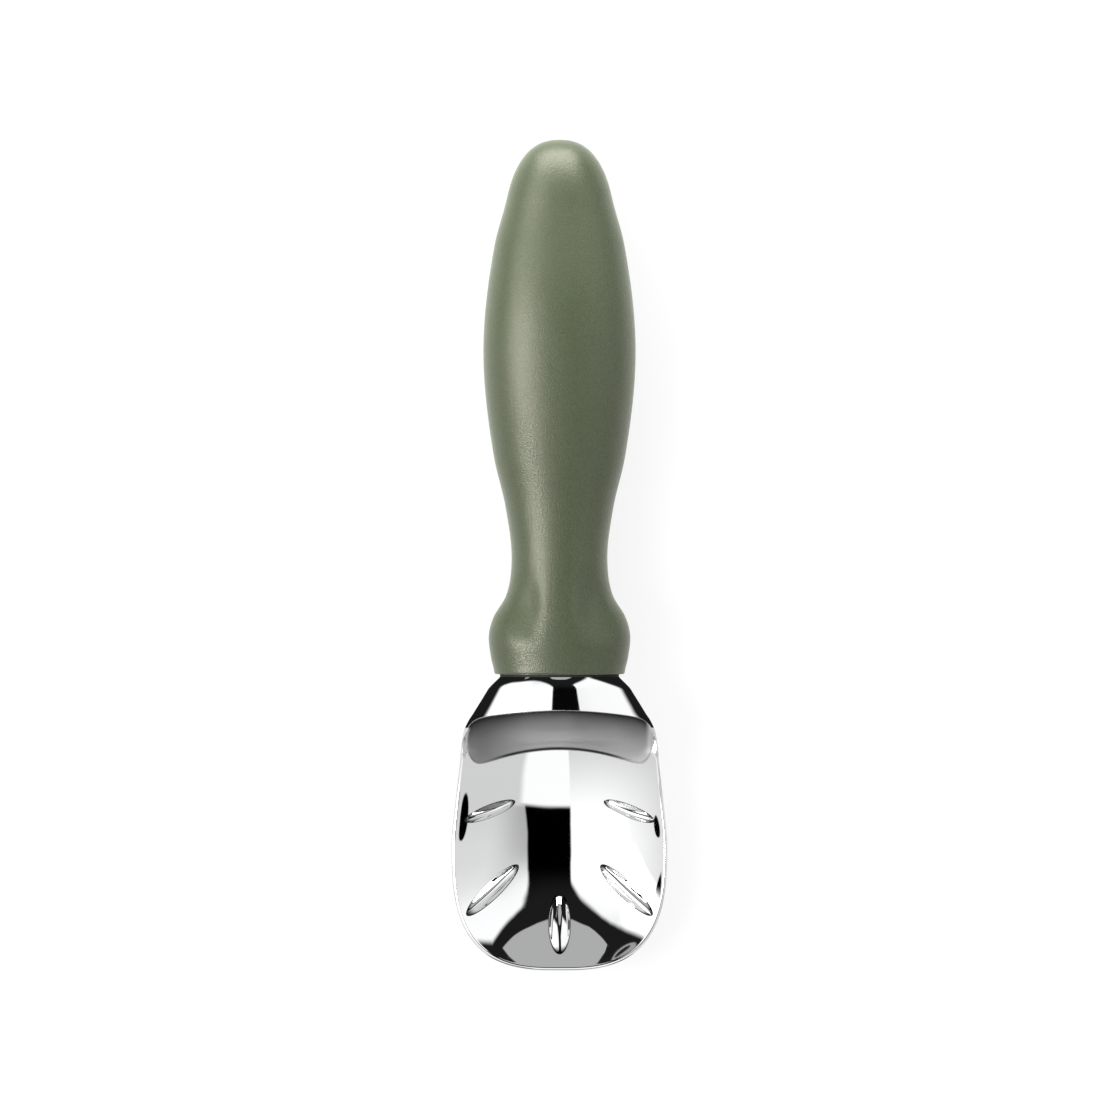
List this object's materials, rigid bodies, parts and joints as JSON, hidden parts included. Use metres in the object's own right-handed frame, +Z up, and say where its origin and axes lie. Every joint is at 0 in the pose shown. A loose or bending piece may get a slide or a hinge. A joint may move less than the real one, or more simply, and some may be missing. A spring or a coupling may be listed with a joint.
{
  "type": "ice cream scoop",
  "caption": "Ice cream scoop with a chrome-plated bowl that has raised release ribs inside, a tapered neck and a contoured sage-green grained grip.",
  "frame": {"origin": "bottom centre of the bounding box, on the table that the scoop lies on", "axes": "+Y along the scoop from the bowl's tip to the handle's butt, +Z up out of the open bowl, +X across to the right when the butt points away"},
  "size_m": [0.0496, 0.19, 0.0266],
  "materials": {
    "head_chrome": "mirror polished plating",
    "seal_black": "matte",
    "core_plastic": "moulded, hidden inside the grip",
    "pin_steel": "ground",
    "grip_green": "fine spark-eroded grain"
  },
  "bodies": {
    "root": {"scoop_head": "head_chrome", "neck_seal": "seal_black", "handle_core": "core_plastic", "tang_pin_front": "pin_steel", "tang_pin_rear": "pin_steel", "core_end_cap": "core_plastic", "grip_skin": "grip_green"}
  },
  "joints": []
}
